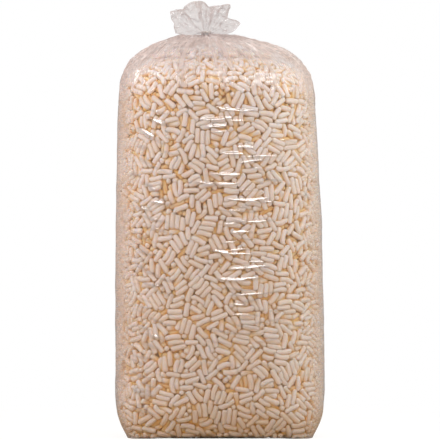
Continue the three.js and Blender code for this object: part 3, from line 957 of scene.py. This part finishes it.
def film_material():
    """Clear blown polyethylene, glossy on both faces, hazy where it is seen edge-on and in slack folds."""
    material, tree = new_material("clear_polyethylene_film")
    place = add(tree, "ShaderNodeTexCoord").outputs["Object"]
    values = {
        name: add(tree, "ShaderNodeAttribute", {"attribute_name": name}).outputs["Fac"]
        for name in ("slack", "loose", "crest", "mouth", "fold", "cloud")
    }

    # Fine creases slant down both sides, where the film is drawn back round the bag.
    across = add(tree, "ShaderNodeSeparateXYZ", {0: place})
    sideways = add(tree, "ShaderNodeMath", {"operation": "ABSOLUTE", 0: across})
    on_sides = add(tree, "ShaderNodeMapRange", {"Value": sideways, "From Min": 0.19, "From Max": 0.27})
    slanted = add(tree, "ShaderNodeMapping", {
        "Vector": place,
        "Rotation": (CREASE_SLANT, 0, 0),
        "Scale": [1 / size for size in CREASE_SIZE],
    })
    folds = add(tree, "ShaderNodeTexNoise", {"Scale": 1.0, "Detail": 2.0, "Vector": slanted})
    strength = add(tree, "ShaderNodeMath", {"operation": "MULTIPLY", 0: on_sides, 1: 0.25})
    bump = add(tree, "ShaderNodeBump", {"Distance": 0.004, "Height": folds, "Strength": strength})

    # More of them spread from the neck like spokes, and waver as they go.
    neck = (tie_middle.x, tie_middle.y, 0)
    from_neck = add(tree, "ShaderNodeVectorMath", {"operation": "SUBTRACT", 0: place, 1: neck})
    level_way = add(tree, "ShaderNodeVectorMath", {"operation": "MULTIPLY", 0: from_neck, 1: (1, 1, 0)})
    spoke = add(tree, "ShaderNodeVectorMath", {"operation": "NORMALIZE", 0: level_way})
    far = add(tree, "ShaderNodeVectorMath", {"operation": "LENGTH", 0: from_neck}).outputs["Value"]
    waver = add(tree, "ShaderNodeMath", {"operation": "MULTIPLY", 0: far, 1: SPOKE_WAVER})
    spread = {"operation": "MULTIPLY_ADD", 0: spoke, 1: [SPOKES] * 3, 2: waver}
    pace = add(tree, "ShaderNodeVectorMath", spread)
    spokes = add(tree, "ShaderNodeTexNoise", {"Scale": 1.0, "Detail": 3.0, "Vector": pace})
    less = add(tree, "ShaderNodeMath", {"operation": "MULTIPLY", 0: values["mouth"], 1: -0.3})
    crinkle = add(tree, "ShaderNodeTexNoise", {"Scale": 1 / CRINKLE_SIZE, "Detail": 3.0, "Vector": place})
    for height, depth, rate, base in ((spokes, 0.006, 0.8, less), (crinkle, 0.002, 0.22, 0.03)):
        by_loose = {"operation": "MULTIPLY_ADD", 0: values["loose"], 1: rate, 2: base}
        strength = add(tree, "ShaderNodeMath", by_loose)
        relief = {"Distance": depth, "Height": height, "Strength": strength, "Normal": bump}
        bump = add(tree, "ShaderNodeBump", relief)

    # How far each cause of gloss or haze shows: from and to which value it grows, and from and to what.
    facing = add(tree, "ShaderNodeLayerWeight", {"Blend": 0.5, "Normal": bump}).outputs["Facing"]
    values.update(facing=facing, spokes=spokes, folds=folds, on_sides=on_sides)
    for result, source, low, high, least, most, growth in (
        ("broken", "spokes", 0.48, 0.64, 0.08, 1.0, "LINEAR"),
        ("edge_on", "facing", 0.22, 0.90, 0.0, 0.70, "SMOOTHSTEP"),
        ("streaked", "spokes", 0.42, 0.70, 0.20, 0.62, "SMOOTHSTEP"),
        ("lines", "spokes", 0.52, 0.68, 0.0, 0.30, "SMOOTHSTEP"),
        ("fibres", "folds", 0.46, 0.68, 0.0, 0.18, "SMOOTHSTEP"),
    ):
        values[result] = add(tree, "ShaderNodeMapRange", {
            "interpolation_type": growth,
            "Value": values[source],
            "From Min": low,
            "From Max": high,
            "To Min": least,
            "To Max": most,
        })
    for result, operation, *terms in (
        # Gloss: a little all over, more at a grazing angle and on crests, broken up in the loose film.
        ("grazing", "POWER", "facing", 5),
        ("mirror", "MULTIPLY_ADD", "grazing", 0.55, 0.07),
        ("mirror", "MULTIPLY_ADD", "crest", 0.16, "mirror"),
        ("dulled", "SUBTRACT", "broken", 1),
        ("whole_share", "MULTIPLY_ADD", "loose", "dulled", 1),
        ("mirror", "MULTIPLY", "mirror", "whole_share"),
        # Haze: where the film is seen edge-on, in the folds of its slack, in streaks, and on crests. On
        # crests it is partly the stretched film's whitening and partly a painted highlight along each
        # wrinkle.
        ("fibrous", "MULTIPLY_ADD", "folds", 2.2, -0.1),
        ("edge_on", "MULTIPLY", "edge_on", "cloud"),
        ("edge_on", "MULTIPLY", "edge_on", "fibrous"),
        ("folded", "MULTIPLY_ADD", "fold", 0.50, "streaked"),
        ("hem", "MULTIPLY_ADD", "fold", 0.40, 0.17),
        ("to_hem", "SUBTRACT", "hem", "folded"),
        ("evened", "MULTIPLY_ADD", "mouth", "to_hem", "folded"),
        ("below_tie", "SUBTRACT", 1, "mouth"),
        ("lines", "MULTIPLY", "lines", "loose"),
        ("lines", "MULTIPLY", "lines", "below_tie"),
        ("fibres", "MULTIPLY", "fibres", "on_sides"),
        ("lines", "MAXIMUM", "lines", "fibres"),
        ("gathered", "MULTIPLY_ADD", "slack", "evened", "lines"),
        ("gathered", "MINIMUM", "gathered", 0.72),
        # Painted highlight, in part: the wrinkles' crests are whitened by haze.
        ("ridge", "MULTIPLY_ADD", "crest", 0.20, 0.08),
        ("haze", "ADD", "edge_on", "gathered"),
        ("haze", "ADD", "haze", "ridge"),
        # Its colour: cream against the peanuts, which paints the warm light they throw into the haze, and
        # greyer in slack film, on crests and in the mouth.
        ("slack_grey", "MULTIPLY", "slack", 0.9),
        ("loose_grey", "MULTIPLY", "loose", 0.65),
        ("greyer", "MAXIMUM", "mouth", "crest"),
        ("greyer", "MAXIMUM", "greyer", "slack_grey"),
        ("greyer", "MAXIMUM", "greyer", "loose_grey"),
    ):
        inputs = {number: values.get(term, term) for number, term in enumerate(terms)}
        values[result] = add(tree, "ShaderNodeMath", {"operation": operation, **inputs})

    # Painted light: the haze's cream stands for the peanuts' warm light within it.
    ends = {6: linear("#EEDCD2"), 7: linear("#DDD2D3")}
    tint = add(tree, "ShaderNodeMix", {"data_type": "RGBA", 0: values["greyer"], **ends}).outputs[2]
    front = add(tree, "ShaderNodeBsdfDiffuse", {"Color": tint, "Normal": bump})
    behind = add(tree, "ShaderNodeBsdfTranslucent", {"Color": tint, "Normal": bump})
    milk = add(tree, "ShaderNodeMixShader", {0: 0.4, 1: front, 2: behind})
    clear = add(tree, "ShaderNodeBsdfTransparent", {"Color": CLEAR_PLASTIC})
    hazy = add(tree, "ShaderNodeMixShader", {0: values["haze"], 1: clear, 2: milk})
    gloss = add(tree, "ShaderNodeBsdfGlossy", {"Roughness": 0.10, "Normal": bump})
    whole = add(tree, "ShaderNodeMixShader", {0: values["mirror"], 1: hazy, 2: gloss})
    add(tree, "ShaderNodeOutputMaterial", {"Surface": whole})
    return material


def film_bag():
    """The whole sheet. It has fewer columns below the shoulder, where its wrinkles run level."""
    points, fields = film_points()
    below = len(points) - MOUTH_RINGS - NECK_RINGS - SHOULDER_RINGS
    side_columns = COLUMNS // FINER
    foot = below * side_columns
    middle = points[0].mean(0)

    def in_order(grid):
        lower = grid[:below, ::FINER].reshape(foot, -1)
        return np.concatenate([lower, grid[below:].reshape(-1, lower.shape[1])])

    all_points = foot_arched(np.concatenate([in_order(points), [middle]]))
    faces = [
        *tube_faces(below, side_columns),
        *stitch_faces(foot - side_columns, foot, side_columns),
        *(foot + tube_faces(len(points) - below, COLUMNS)),
        *fan_faces(len(all_points) - 1, 0, side_columns, False),
    ]
    piece = new_piece("film_bag_clear", all_points, faces, film_material())
    mark(piece.data, **{name: np.append(in_order(values), 0.0) for name, values in fields.items()})
    return piece


film = film_bag()
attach(film, "root")
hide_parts("film_bag")


# ==== The twist tie ====
# A flat ribbon of clear plastic moulded over a thin wire. It goes once round the gathered neck, and its
# two ends are twisted together into a tail at the front.

TIE_WIDTH = 0.004
TIE_THICKNESS = 0.0005
WIRE_RADIUS = 0.00045
TIE_GRAIN = 0.0012
TIE_RADIUS = NECK_RADIUS + 0.001
TIE_STEPS = 72
TAIL_LENGTH = 0.026
TAIL_TURNS = 2.5
TAIL_STEPS = 40
TAIL_APART = 0.0006  # half the distance between the two ribbons of the tail


def ribbon(path, side, closed):
    """Points and faces of a ribbon over a wire: its wide way is side, at each point of its path."""
    ahead = np.roll(path, -1, axis=0) - np.roll(path, 1, axis=0) if closed else np.gradient(path, axis=0)
    through = unit(np.cross(ahead, side))
    half, thin = TIE_WIDTH / 2, TIE_THICKNESS / 2
    wire = 1.4 * WIRE_RADIUS
    below = [(-half, -thin), (-wire, -thin), (0, -thin - WIRE_RADIUS), (wire, -thin), (half, -thin)]
    outline = below + [(-across, -over) for across, over in below]
    rows = path[:, None] + np.array([[u * a + v * b for u, v in outline] for a, b in zip(side, through)])
    count, around = len(rows), len(outline)
    faces = tube_faces(count, around).tolist()
    if closed:
        last = (count - 1) * around
        faces += [[last + i, last + (i + 1) % around, (i + 1) % around, i] for i in range(around)]
    else:
        faces += [list(range(around))[::-1], list(range((count - 1) * around, count * around))]
    return rows.reshape(-1, 3), faces


def tie_material():
    """Vinyl moulded over a wire: clear, a little milky, with a faint grain from the mould."""
    material, tree = new_material("clear_tie_plastic")
    place = add(tree, "ShaderNodeTexCoord").outputs["Object"]
    grain = add(tree, "ShaderNodeTexNoise", {"Scale": 1 / TIE_GRAIN, "Detail": 2.0, "Vector": place})
    bump = add(tree, "ShaderNodeBump", {"Strength": 0.2, "Distance": 0.0003, "Height": grain})
    plastic = add(tree, "ShaderNodeBsdfPrincipled", {
        "Base Color": linear("#F4EEEB"),
        "Roughness": 0.35,
        "Transmission Weight": 0.15,
        "IOR": 1.45,
        "Normal": bump,
    })
    clear = add(tree, "ShaderNodeBsdfTransparent", {"Color": CLEAR_PLASTIC})
    vinyl = add(tree, "ShaderNodeMixShader", {0: 0.45, 1: clear, 2: plastic})
    add(tree, "ShaderNodeOutputMaterial", {"Surface": vinyl})
    return material


def twist_tie():
    """The loop round the neck, and the two ends twisted about each other."""
    middle = np.array(tie_middle)
    middle[1] = 0.0
    turn = np.arange(TIE_STEPS) * 2 * math.pi / TIE_STEPS
    loop = middle + TIE_RADIUS * np.stack([np.cos(turn), np.sin(turn), 0 * turn], axis=1)
    parts = [ribbon(loop, np.tile([0, 0, 1.0], (TIE_STEPS, 1)), True)]
    share = np.linspace(0, 1, TAIL_STEPS)
    twist = 2 * math.pi * TAIL_TURNS * share
    wide = np.stack([np.sin(twist), 0 * twist, np.cos(twist)], axis=1)
    apart = np.stack([np.cos(twist), 0 * twist, -np.sin(twist)], axis=1)
    forward = TIE_RADIUS + TIE_THICKNESS + TAIL_LENGTH * share
    spine = middle - np.stack([0 * share, forward, 0 * share], axis=1)
    for side in (-1, 1):
        parts.append(ribbon(spine + side * TAIL_APART * apart, wide, False))
    points = np.concatenate([part[0] for part in parts])
    starts = np.cumsum([0] + [len(part[0]) for part in parts[:-1]])
    faces = [[start + corner for corner in face] for start, part in zip(starts, parts) for face in part[1]]
    return new_piece("twist_tie_ribbon", points, faces, tie_material())


tie = twist_tie()
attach(tie, "root")
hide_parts("twist_tie")


# ==== Floor, light and camera ====
# A pale floor that fades into a white surround, six soft lights all round the bag, three more that show
# only as glints in the film, and a far camera level with the bag's middle.

CAMERA_DISTANCE = 18.0
CAMERA_HEIGHT = 0.6237
FRAME_HEIGHT = 1.2695  # of what the camera takes in at the bag's middle
FLOOR_RADIUS = 3.0
FLOOR_SIDES = 96
FADE_FROM, FADE_TO = 0.35 * FLOOR_RADIUS, 0.98 * FLOOR_RADIUS
LIGHT_TARGET = (0.0, 0.0, 0.65)
WHITE = linear("#FFFFFF")


def floor_material():
    """Paper that fades out to its edge. It looks white, and warms the bag's foot with its own colour."""
    material, tree = new_material("white_studio_floor")
    place = add(tree, "ShaderNodeTexCoord").outputs["Object"]
    away = add(tree, "ShaderNodeVectorMath", {"operation": "LENGTH", 0: place}).outputs["Value"]
    fade = add(tree, "ShaderNodeMapRange", {"Value": away, "From Min": FADE_FROM, "From Max": FADE_TO})
    paper = add(tree, "ShaderNodeBsdfDiffuse", {"Color": linear("#A88A5E")})
    white = add(tree, "ShaderNodeBsdfDiffuse", {"Color": (0.16, 0.15, 0.14, 1)})
    lift = add(tree, "ShaderNodeEmission", {"Color": WHITE, "Strength": 0.90})
    lifted = add(tree, "ShaderNodeAddShader", {0: white, 1: lift})
    seen = add(tree, "ShaderNodeLightPath").outputs["Is Camera Ray"]
    either = add(tree, "ShaderNodeMixShader", {0: seen, 1: paper, 2: lifted})
    clear = add(tree, "ShaderNodeBsdfTransparent")
    faded = add(tree, "ShaderNodeMixShader", {0: fade, 1: either, 2: clear})
    add(tree, "ShaderNodeOutputMaterial", {"Surface": faded})
    return material


def white_surround():
    """A world that is white to the camera, warm and dimmer as light, and dimmest in reflections."""
    world = bpy.data.worlds.new("white_surround")
    world.use_nodes = True
    tree = world.node_tree
    tree.nodes.clear()
    rays = add(tree, "ShaderNodeLightPath").outputs
    seen, around, mirrored = (
        add(tree, "ShaderNodeBackground", {"Color": colour, "Strength": strength})
        for colour, strength in ((WHITE, 1.0), (linear("#FFFBF8"), 0.56), (WHITE, 0.35))
    )
    other = add(tree, "ShaderNodeMixShader", {0: rays["Is Glossy Ray"], 1: around, 2: mirrored})
    either = add(tree, "ShaderNodeMixShader", {0: rays["Is Camera Ray"], 1: other, 2: seen})
    add(tree, "ShaderNodeOutputWorld", {"Surface": either})
    return world


def soft_light(name, azimuth, elevation, distance, width, height, power, colour, mirrored):
    """A rectangular light aimed at the middle of the bag. Azimuth is to the right of the front.

    A mirrored light shows only as a glint in gloss, and the others only light what they fall on.
    """
    a, e = math.radians(azimuth), math.radians(elevation)
    way = np.array([math.sin(a) * math.cos(e), -math.cos(a) * math.cos(e), math.sin(e)])
    lamp = bpy.data.lights.new(name, "AREA")
    lamp.shape = "RECTANGLE"
    lamp.size, lamp.size_y = width, height
    lamp.energy = power
    lamp.color = linear(colour)[:3]
    light = bpy.data.objects.new(name, lamp)
    light.location = np.array(LIGHT_TARGET) + distance * way
    light.rotation_euler = (math.pi / 2 - e, 0, a)
    light.visible_camera = False
    light.visible_glossy = mirrored
    light.visible_diffuse = light.visible_transmission = not mirrored
    bpy.context.scene.collection.objects.link(light)


turn = np.arange(FLOOR_SIDES) * 2 * math.pi / FLOOR_SIDES
floor_ring = FLOOR_RADIUS * np.stack([np.cos(turn), np.sin(turn), 0 * turn], axis=1)
new_piece("floor", floor_ring, [range(FLOOR_SIDES)], floor_material())
bpy.context.scene.world = white_surround()
bpy.context.scene.view_settings.view_transform = "Standard"

# Azimuth and elevation in degrees, distance, width, height, power in watts, colour, and whether mirrored.
for light in (
    ("overhead_front", 16, 56, 1.9, 1.4, 0.5, 6.6, "#FFF9F4", False),
    ("left_side", -66, 26, 2.3, 0.9, 1.2, 17, "#FFF6EE", False),
    ("right_side", 76, 26, 2.3, 0.9, 1.2, 18.5, "#FBFCEC", False),
    ("front_fill", -5, 9, 4.0, 2.6, 1.8, 22.4, "#FFF5E7", False),
    ("low_front", -5, -16, 1.1, 1.6, 0.3, 0.60, "#FFC864", False),
    ("right_card", 30, 36, 2.6, 3.3, 0.55, 41, "#FFFFFF", True),
    ("back_fill", 180, 12, 3.5, 2.4, 1.6, 5, "#FFF8F2", False),
    ("back_card", 180, 36, 2.6, 2.5, 0.55, 20, "#FFFFFF", True),
    ("left_card", -77, 36, 2.3, 2.2, 0.36, 28, "#FFFFFF", True),
):
    soft_light(*light)

camera_data = bpy.data.cameras.new("camera")
camera_data.sensor_width = 36
camera_data.lens = camera_data.sensor_width * CAMERA_DISTANCE / FRAME_HEIGHT
camera = bpy.data.objects.new("camera", camera_data)
camera.location = (0.0, -CAMERA_DISTANCE, CAMERA_HEIGHT)
camera.rotation_euler = (math.pi / 2, 0, 0)
bpy.context.scene.collection.objects.link(camera)
bpy.context.scene.camera = camera
